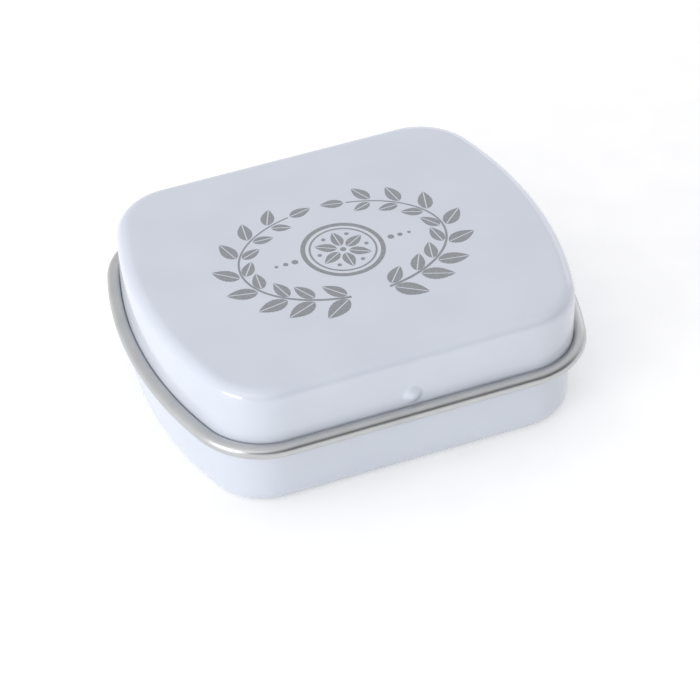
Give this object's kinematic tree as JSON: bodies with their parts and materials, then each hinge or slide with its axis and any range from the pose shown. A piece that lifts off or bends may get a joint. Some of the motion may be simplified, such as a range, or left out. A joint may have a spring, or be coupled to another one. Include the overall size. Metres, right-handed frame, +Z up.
{
  "type": "mint tin",
  "caption": "Small flat tin with bowed ends and a hinged lid whose edge is rolled outward, holding loose round mints.",
  "frame": {"origin": "middle of the footprint, on the surface the tin stands on", "axes": "+X along the tin, +Y from its front to its hinge, +Z up"},
  "size_m": [0.06, 0.0494, 0.0195],
  "materials": {
    "coated_tinplate": "white coated outside, bare tin inside and on the rolled edges",
    "mint_tablet": "pressed sugar tablet, satin"
  },
  "bodies": {
    "tin_base": {"base": "coated_tinplate", "mint_01": "mint_tablet", "mint_02": "mint_tablet", "mint_03": "mint_tablet", "mint_04": "mint_tablet", "mint_05": "mint_tablet", "mint_06": "mint_tablet", "mint_07": "mint_tablet", "mint_08": "mint_tablet"},
    "tin_lid": {"lid": "coated_tinplate"}
  },
  "joints": [
    {"name": "lid_hinge", "type": "hinge", "parent": "tin_base", "child": "tin_lid", "pos_m": [0, 0.02244, 0.0087], "axis": [-1, 0, 0], "range_deg": [0, 105]}
  ]
}
